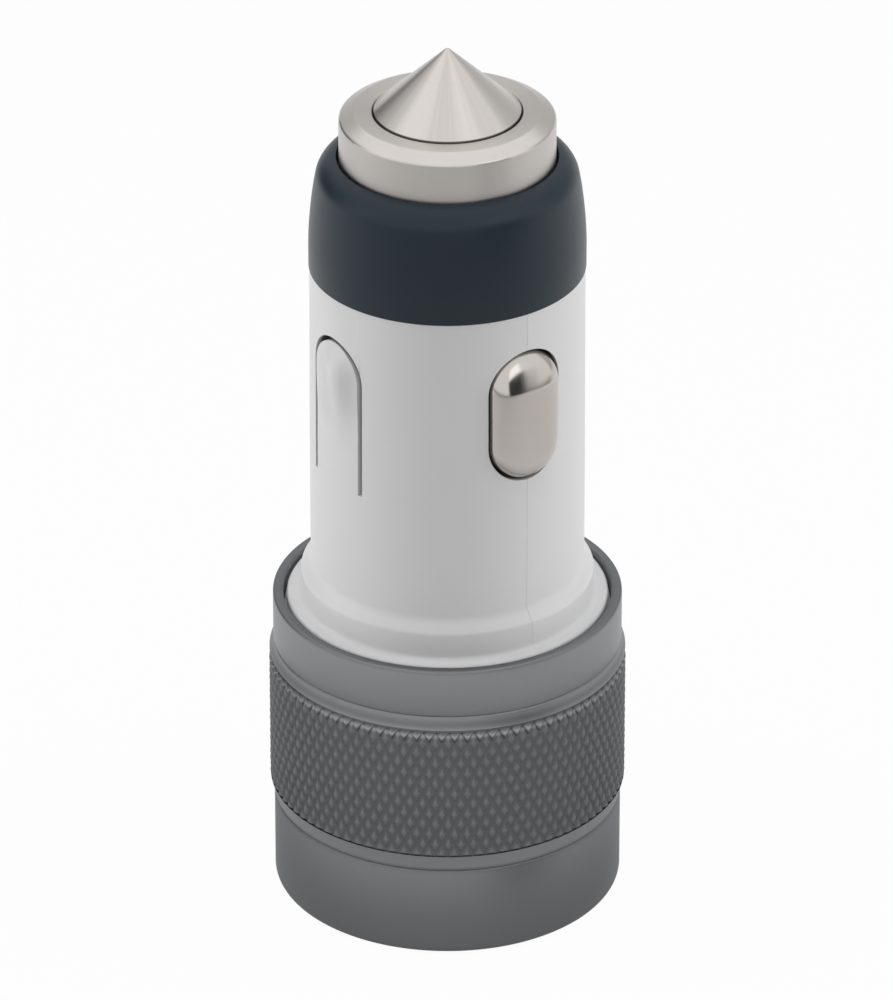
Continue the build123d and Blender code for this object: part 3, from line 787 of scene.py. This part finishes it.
# %% Dark lines and turning marks
chamfer_middle = knurl_top + groove_width + chamfer_top / 2
groove_foot = knurl_top + 0.03
painted_shade_lines = (                  # height, share of the painted shade and spread
    (top_score, 0.40, 0.30),
    (foot_score, 0.70, 0.45),
    (groove_foot, 0.95, 0.30),
    (chamfer_middle, 0.55, 0.60),
    (sleeve_top, 0.50, 0.40),
)
# painted shade along the scored lines, with some grime there too, the groove, the chamfer and the rim
for height, share, spread in painted_shade_lines:
    anodised.tint(anodised.at_height(height, spread) * share, line_painted_shade)
turning = anodised.lines(anodised.z, scale=14.0)
anodised.rough(0.36 + 0.10 * turning + 0.06 * anodised.noise(6.0))
anodised.bump(turning, depth=0.004, strength=0.5)
anodised.bump(anodised.noise(14.0, detail=2.0), depth=0.004, strength=0.35)
print("sleeve finish:", len(anodised.tree.nodes), "nodes")

# %% [markdown]
# ## White shell
# The half-shells are polished white plastic with the faint waviness of a moulding. Inside the
# slits and windows the colour falls off below the skin: painted shade, for the dark inside. The
# tab's crest is low in the solid, because the plug has to slide into its socket, and a bump brings
# its swell out. The ledge at the foot has edges that the mould leaves soft: a Bevel node rounds
# their normals, and a mask keeps it off the seam.

# %% White shell
shell_white = (0.80, 0.80, 0.805)
shell_shade = (0.775, 0.775, 0.79)
skin_radius = 10.40
dark_radius = skin_radius - 0.55
clear_radius = skin_radius - 0.12

shell = Finish("white_shell_finish", shell_white, 0.36, IOR=1.48)
shell.tint(shell.noise(0.15, detail=2.0) * 0.5, shell_shade)
# painted shade: the colour darkens below the skin, inside the slits and windows
below_skin = 1 - shell.outwards(dark_radius, clear_radius)
shell.tint(below_skin * 0.85, darker(shell_white, 0.12))
shell.rough(0.32 + 0.08 * shell.noise(2.5, detail=3.0))

# %% Soft ledge and tab
edge_radius = 0.35
edge_samples = 6
ledge_top = 28.2
ledge_fade = 0.3
seam_clear = 0.5                # the soft edges begin this far from the seam
tab_half_width = 2.85
tab_side = 0.05
tab_foot = 39.5                 # the swell rises from here
tab_crest = 45.6                # to here
tab_brow = 46.4                 # and falls from here
tab_head = 48.9                 # to here
tab_fall = 0.85
tab_crown = 0.9
tab_swell = 0.8

beside_seam = abs(shell.y).between(seam_clear * mm, 2 * seam_clear * mm)
on_ledge = beside_seam * (1 - shell.upwards(ledge_top - ledge_fade, ledge_top))
plain_normal = shell.node("ShaderNodeNewGeometry", output="Normal")
soft_normal = shell.node("ShaderNodeBevel", {"samples": edge_samples}, {
    "Radius": edge_radius * mm})
shell.feed(shell.shader.inputs["Normal"], shell.node("ShaderNodeMix", {"data_type": "VECTOR"}, {
    0: on_ledge, 4: plain_normal, 5: soft_normal}, output=1))
across = abs(shell.x)
on_tab = 1 - across.between((tab_half_width - tab_side) * mm, (tab_half_width + tab_side) * mm)
tab_rise = shell.upwards(tab_foot, tab_crest) * (1 - tab_fall * shell.upwards(tab_brow, tab_head))
tab_arch = 1 - tab_crown * across.between(0, tab_half_width * mm)
shell.bump(tab_rise * tab_arch * on_tab, depth=tab_swell)
shell.bump(shell.noise(9.0, detail=2.0), depth=0.002, strength=0.4)
print("shell finish:", len(shell.tree.nodes), "nodes")

# %% [markdown]
# ## Slate nose
# The nose ring is a darker, softer plastic: it is nearly matt from the front and shines only at
# its sides, where it is seen at a low angle. A low specular level and a middling roughness do it.

# %% Slate nose
nose_slate = (0.0085, 0.0190, 0.0295)
slate = Finish("slate_nose_finish", nose_slate, 0.30, Specular_IOR_Level=0.38)
slate.tint(slate.noise(0.3, detail=3.0) * 0.4, darker(nose_slate, 0.85))
slate.rough(0.34 + 0.08 * slate.noise(5.0, detail=3.0))
slate.bump(slate.noise(16.0, detail=2.0), depth=0.002, strength=0.25)
print("nose finish:", len(slate.tree.nodes), "nodes")

# %% [markdown]
# ## Turned steel and nickel
# A lathe leaves grooves that run round the axis, so light spreads across them: the cone shows
# bright and dark fans from its point to its foot. The shader's Anisotropic value does this, and
# a quarter turn of its direction lays the spread across the grooves; dark fans are also painted
# into the cone's colour as painted reflection. The collar's wall is painted darker below its bevel,
# and the tip's neck and the foot of the collar's wall, which stand in narrow gaps, get painted
# shade. The contacts are pressed and nickel plated, smooth and a little warm.

# %% Turned steel
steel_grey = (0.75, 0.71, 0.675)
steel_painted_shade = darker(steel_grey, 0.68)
gap_painted_shade = darker(steel_grey, 0.08)
groove_slope = 0.7              # lets the grooves go on over upright walls
tip_edge = tip_radius + 0.02
neck_top = cone_foot - 0.02
cone_start = cone_foot + 0.06
wall_top = collar_top - 0.80
bevel_start = collar_top - 0.50
gap_foot = collar_foot + collar_flange
gap_top = gap_foot + 0.6

steel = Finish(
    "turned_steel_finish", steel_grey, 0.30,
    Metallic=1.0, Anisotropic=0.75, Anisotropic_Rotation=0.25)
grooves = steel.lines(steel.radius() + steel.z * groove_slope, scale=22.0, detail=4.0)
steel.tint(steel.lines(steel.radius() - steel.z, scale=9.0) * 0.25, darker(steel_grey, 0.75))
on_tip = 1 - steel.outwards(tip_edge, collar_bore)
on_collar = 1 - on_tip
# painted reflection: dark fans on the cone, on top of the anisotropic spread
steel.tint(steel.fans(1.8).between(0.38, 0.66) * on_tip * 0.55, steel_painted_shade)
streaks = steel.noise(0.5, detail=3.0, stretch=(1, 1, 4))
steel.tint(streaks * on_collar * 0.45, darker(steel_grey, 0.78))
# painted shade: a dark ring at the tip's neck, under the cone
on_neck = 1 - steel.upwards(neck_top, cone_start)
steel.tint(on_neck * on_tip * 0.90, gap_painted_shade)
# painted shade: the collar's wall below its bevel is darkened for the darker things it mirrors
on_wall = 1 - steel.upwards(wall_top, bevel_start)
steel.tint(on_wall * on_collar * 0.70, steel_painted_shade)
# painted shade: the foot of the collar's wall, down in the gap under the nose lip
in_gap = 1 - steel.upwards(gap_foot, gap_top)
steel.tint(in_gap * 0.9, gap_painted_shade)
steel.rough(0.24 + 0.14 * grooves)
steel.bump(grooves, depth=0.003, strength=0.6)
print("steel finish:", len(steel.tree.nodes), "nodes")

# %% Nickel
nickel_warm = (0.58, 0.543, 0.514)
nickel = Finish("nickel_contact_finish", nickel_warm, 0.16, Metallic=1.0)
nickel.tint(nickel.noise(0.5, detail=3.0) * 0.3, darker(nickel_warm, 0.85))
nickel.rough(0.12 + 0.10 * nickel.noise(1.5, detail=4.0))
nickel.bump(nickel.noise(8.0, detail=3.0, stretch=(1, 1, 0.1)), depth=0.001, strength=0.4)
print("nickel finish:", len(nickel.tree.nodes), "nodes")

# %% [markdown]
# ## Inside the plug
# The socket end and the electronics have plain finishes of their own, each with a little grain:
# white fascia, black insulators, gold blades, green board, dark ferrite, bright cans and springs.
# They differ only in colour, gloss and grain, so one table and one function make them all.

# %% Inner finishes
inner_finishes = {              # colour, roughness, grain waves to a millimetre and metal
    "fascia_plastic": ((0.78, 0.78, 0.785), 0.40, 3.0, 0.0),
    "socket_steel": ((0.62, 0.61, 0.60), 0.28, 2.0, 1.0),
    "socket_insulator": ((0.022, 0.022, 0.024), 0.45, 4.0, 0.0),
    "contact_gold": ((0.82, 0.60, 0.26), 0.25, 3.0, 1.0),
    "board_laminate": ((0.02, 0.14, 0.055), 0.35, 1.0, 0.0),
    "ferrite": ((0.045, 0.045, 0.048), 0.55, 3.0, 0.0),
    "can_aluminium": ((0.70, 0.71, 0.72), 0.30, 2.0, 1.0),
    "package_black": ((0.018, 0.018, 0.02), 0.50, 5.0, 0.0),
    "fuse_ceramic": ((0.72, 0.70, 0.62), 0.45, 3.0, 0.0),
    "spring_steel": ((0.56, 0.56, 0.57), 0.30, 2.0, 1.0),
    "terminal_brass": ((0.72, 0.52, 0.24), 0.30, 2.0, 1.0),
}


def grained_finish(name, colour, roughness, grain, metal):
    """A finish with a fine grain in its colour, gloss and surface."""
    finish = Finish(name, colour, roughness, Metallic=metal)
    speckle = finish.noise(grain, detail=3.0)
    finish.tint(speckle * 0.5, darker(colour, 0.75))
    finish.rough(roughness - 0.06 + 0.12 * speckle)
    finish.bump(speckle, depth=0.003, strength=0.4)
    return finish


finishes = {
    "anodised_sleeve": anodised, "white_shell": shell, "slate_nose": slate,
    "turned_steel": steel, "nickel_contact": nickel,
}
for slot, looks in inner_finishes.items():
    finishes[slot] = grained_finish(slot + "_finish", *looks)
print("finishes:", len(finishes))

# %% [markdown]
# ## Dressing the frame
# A modelled piece stands for its CAD node, rides on the same body and names the same material
# slot. The CAD nodes that stay take the finish of their slot. For each of the three springs, the
# share of its length that its joint's travel would leave is then printed, and the spring gets a
# mesh of its own.

# %% Dress
slot_of = {part["node"]: part["material_slot"] for part in frame["record"]["subparts"]}


def dress(piece, node, body):
    """Let a modelled piece stand for a CAD node."""
    piece.data.materials.clear()
    piece.data.materials.append(finishes[slot_of[node]].material)
    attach(piece, body)
    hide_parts(node)
    print(f"{piece.name} stands for {node} on {body}")


for name, node in nodes.items():
    node.material_slots[0].material = finishes[slot_of[name]].material
dress(sleeve, "head_sleeve", "housing")
dress(nose, "nose_ring", "housing")
dress(collar, "tip_collar", "housing")
dress(tip, "centre_tip", "tip")
dress(half_front, "barrel_half_front", "housing")
dress(half_rear, "barrel_half_rear", "housing")
dress(contact_right, "ground_contact_right", "contact_right")
dress(contact_left, "ground_contact_left", "contact_left")
dress(tip_spring, "tip_spring", "housing")
dress(bow_right, "ground_spring_right", "housing")
dress(bow_left, "ground_spring_left", "housing")

# %% What each spring would keep
travel = {joint["name"]: joint["range_m"][1] for joint in frame["record"]["behaviour"]["joints"]}


def give_way(piece, node, joint, axis, outer_end):
    """Work out what share of its length a spring keeps when its joint travels all the way, and give it
    its own mesh; the mesh is not shortened.
    """
    low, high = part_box(node)
    fixed, moving = (high, low) if outer_end == "low" else (low, high)
    length = abs((moving - fixed).dot(Vector(axis)))
    1 - travel[joint] / length
    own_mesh(piece)
    print(f"{piece.name} keeps {1 - travel[joint] / length:.2f} of its length")


give_way(tip_spring, "tip_spring", "tip_press", (0, 0, 1), "high")
give_way(bow_right, "ground_spring_right", "contact_right_press", (1, 0, 0), "high")
give_way(bow_left, "ground_spring_left", "contact_left_press", (1, 0, 0), "low")

# %% [markdown]
# ## Camera
# A small object is pictured from far off through a long lens, so that its upright edges stay
# nearly parallel. The camera stands 70 cm away and looks down at the plug, and a slight shift of
# the lens sets the plug where it belongs in the frame.

# %% Camera
view_azimuth = radians(54.96)
view_elevation = radians(28.41)
view_distance = 0.700
view_height = 32.23 * mm
lens_length = 332.46
sensor_width = 36
lens_shift = -0.00093

aim = Vector((0, 0, view_height))
back = Vector((
    sin(view_azimuth) * cos(view_elevation),
    -cos(view_azimuth) * cos(view_elevation),
    sin(view_elevation)))
bpy.ops.object.camera_add(location=aim + view_distance * back)
camera = bpy.context.object
camera.rotation_euler = (-back).to_track_quat("-Z", "Y").to_euler()
camera.data.lens = lens_length
camera.data.sensor_width = sensor_width
camera.data.shift_x = lens_shift
bpy.context.scene.camera = camera
bpy.context.scene.view_settings.view_transform = "Standard"
right = Vector((cos(view_azimuth), sin(view_azimuth), 0))
toward = Vector((back.x, back.y, 0)).normalized()
print("camera at", [round(value, 3) for value in camera.location])

# %% [markdown]
# ## Light tent and floor
# The plug stands on white paper inside a light tent. The tent is plain white wherever the camera
# or a reflection looks, and gives the rest only a little fill light. The paper looks white too,
# but the plug's metal should mirror it darker towards the camera, where a real tent is open, and
# close to the plug, where its shadow lies. Light Path tells these rays apart.

# %% Light tent
tent_fill = 0.25
tent_white = 1.0


def rays(graph, *kinds):
    """1 for rays of these kinds, such as Camera or Glossy, and 0 for all others."""
    total, *others = [graph.node("ShaderNodeLightPath", output=f"Is {kind} Ray") for kind in kinds]
    for other in others:
        total = total.maths("MAXIMUM", total, other)
    return total


def tent_light(strength):
    """White light from all round."""
    return sky.node("ShaderNodeBackground", {}, {"Color": (1, 1, 1), "Strength": strength})


world = bpy.data.worlds.new("light_tent")
bpy.context.scene.world = world
world.use_nodes = True
sky = Graph(world.node_tree)
tent = sky.node("ShaderNodeMixShader", {}, {
    0: rays(sky, "Camera", "Glossy", "Transmission"),
    1: tent_light(tent_fill),
    2: tent_light(tent_white),
})
sky.node("ShaderNodeOutputWorld", {}, {"Surface": tent})
print("light tent:", len(sky.tree.nodes), "nodes")

# %% Floor
floor_size = 3.0
floor_white = 0.86
floor_glow = 0.96               # share of plain white in what the camera sees
glow_behind = 0.85              # share of plain white that mirrors see behind the plug
glow_before = 0.02              # and on the camera's side of it
glow_start = -0.10
glow_end = 0.09
shadow_depth = 0.40
shadow_start = 0.020
shadow_end = 0.050


def studio_material(name):
    """A material with no nodes yet, and the graph that fills it."""
    material = bpy.data.materials.new(name)
    material.use_nodes = True
    return material, Graph(material.node_tree)


paper, sheet = studio_material("studio_paper")
place = sheet.node("ShaderNodeTexCoord", output="Object")
ahead = sheet.node("ShaderNodeVectorMath", {"operation": "DOT_PRODUCT"}, {
    0: place, 1: tuple(toward)}, output="Value")
from_plug = sheet.node("ShaderNodeVectorMath", {"operation": "LENGTH"}, {0: place}, output="Value")
shadow = sheet.node("ShaderNodeMapRange", {}, {
    "Value": from_plug, "From Min": shadow_start, "From Max": shadow_end,
    "To Min": shadow_depth, "To Max": 0})
seen = rays(sheet, "Camera")
mirrored = rays(sheet, "Glossy")
mirrored_glow = ahead.between(glow_start, glow_end, glow_behind, glow_before)
surface = sheet.node("ShaderNodeMixShader", {}, {
    0: seen * floor_glow + mirrored * mirrored_glow,
    1: sheet.node("ShaderNodeBsdfDiffuse", {}, {"Color": floor_white - mirrored * shadow}),
    2: sheet.node("ShaderNodeEmission"),
})
sheet.node("ShaderNodeOutputMaterial", {}, {"Surface": surface})
bpy.ops.object.select_all(action="DESELECT")
bpy.ops.mesh.primitive_plane_add(size=floor_size)
floor = bpy.context.object
floor.name = "studio_floor"
floor.data.materials.append(paper)
print("floor:", floor_size, "m wide,", len(sheet.tree.nodes), "nodes")

# %% [markdown]
# ## Lamps
# A soft box stands at each side of the plug and one hangs above it, so the white barrel is
# brightest at its sides and calm in front. Reflections don't show the lamps themselves: what the
# metal mirrors is set up on its own, in the next step.

# %% Lamps
upright = Vector((0, 0, 1))
side_size = 0.30
side_distance = 0.38
side_forward = 0.02
side_lift = 0.08
side_brightness = 2.33
top_size = 0.34
top_lift = 0.42
top_brightness = 2.45


def soft_lamp(name, place, size, brightness):
    """A square soft box that faces the middle of the plug. Brightness is its radiance."""
    bpy.ops.object.light_add(type="AREA", location=place)
    lamp = bpy.context.object
    lamp.name = name
    lamp.data.shape = "SQUARE"
    lamp.data.size = size
    lamp.data.energy = brightness * pi * size * size
    lamp.rotation_euler = (place - aim).to_track_quat("Z", "Y").to_euler()
    lamp.visible_camera = False
    lamp.visible_glossy = False
    print(f"{name}: {lamp.data.energy:.3f} W")


for name, side in (("left_lamp", -1), ("right_lamp", 1)):
    beside = side * side_distance * right + side_forward * toward + side_lift * upright
    soft_lamp(name, aim + beside, side_size, side_brightness)
soft_lamp("top_lamp", aim + top_lift * upright, top_size, top_brightness)

# %% [markdown]
# ## What the metal mirrors
# Polished metal shows the room round it, so a studio sets up cards for it to mirror: dark felt
# for the dark patches in the contacts and the steel, a glowing card above one of them that makes a
# painted highlight, a hot spot, and a grey screen behind. Only reflections show them, and they cast no
# shadow.

# %% Cards
card_distance = 0.45
dark_height = 0.19
felt_black = (0.03, 0.03, 0.03)
felt_roughness = 0.9
highlight_glow = 1.7


def plain_material(name, shader, values):
    """A material of one shader with constant values."""
    material, graph = studio_material(name)
    graph.node("ShaderNodeOutputMaterial", {}, {"Surface": graph.node(shader, {}, values)})
    return material


def for_mirrors_only(piece, material):
    """Give a piece of the studio its material, and let only reflections show it."""
    piece.data.materials.append(material)
    piece.visible_camera = False
    piece.visible_diffuse = False
    piece.visible_shadow = False


def stand_card(name, bearing, middle, width, height, material):
    """Stand a card up round the plug, so many degrees to the right of the camera."""
    bpy.ops.object.select_all(action="DESELECT")
    angle = radians(bearing)
    outwards = cos(angle) * toward + sin(angle) * right
    bpy.ops.mesh.primitive_plane_add(size=1, location=card_distance * outwards + middle * upright)
    card = bpy.context.object
    card.name = name
    card.scale = (width, height, 1)
    card.rotation_euler = outwards.to_track_quat("-Z", "Y").to_euler()
    for_mirrors_only(card, material)
    print(f"{name}: {width} by {height} m at {bearing} degrees")


felt = plain_material("card_felt", "ShaderNodeBsdfPrincipled", {
    "Base Color": felt_black, "Roughness": felt_roughness})
# painted highlight: a glowing card that lights nothing and shows only in reflections
glow_card = plain_material("card_highlight", "ShaderNodeEmission", {"Strength": highlight_glow})
stand_card(
    "right_card", bearing=47, middle=dark_height / 2, width=0.28, height=dark_height, material=felt)
stand_card(
    "rear_card", bearing=-128, middle=dark_height / 2, width=0.34, height=dark_height, material=felt)
stand_card(
    "bright_card", bearing=47, middle=0.29, width=0.24, height=0.18, material=glow_card)

# %% Grey screen
screen_radius = 0.50
screen_sides = 64
screen_low = 0.05
screen_high = 0.40
screen_front = -0.05            # the screen keeps this far behind the plug's axis, in metres
screen_glow = 0.55

bpy.ops.object.select_all(action="DESELECT")
bpy.ops.mesh.primitive_cylinder_add(
    vertices=screen_sides, radius=screen_radius, depth=screen_high - screen_low,
    end_fill_type="NOTHING", location=(screen_low + screen_high) / 2 * upright)
screen = bpy.context.object
screen.name = "grey_screen"
bpy.ops.object.mode_set(mode="EDIT")
pick(screen, "FACE", lambda face: face.calc_center_median().dot(toward) > screen_front)
bpy.ops.mesh.delete(type="FACE")
bpy.ops.object.mode_set(mode="OBJECT")
cloth = plain_material("screen_cloth", "ShaderNodeEmission", {"Strength": screen_glow})
for_mirrors_only(screen, cloth)
print("grey screen:", len(screen.data.polygons), "faces")
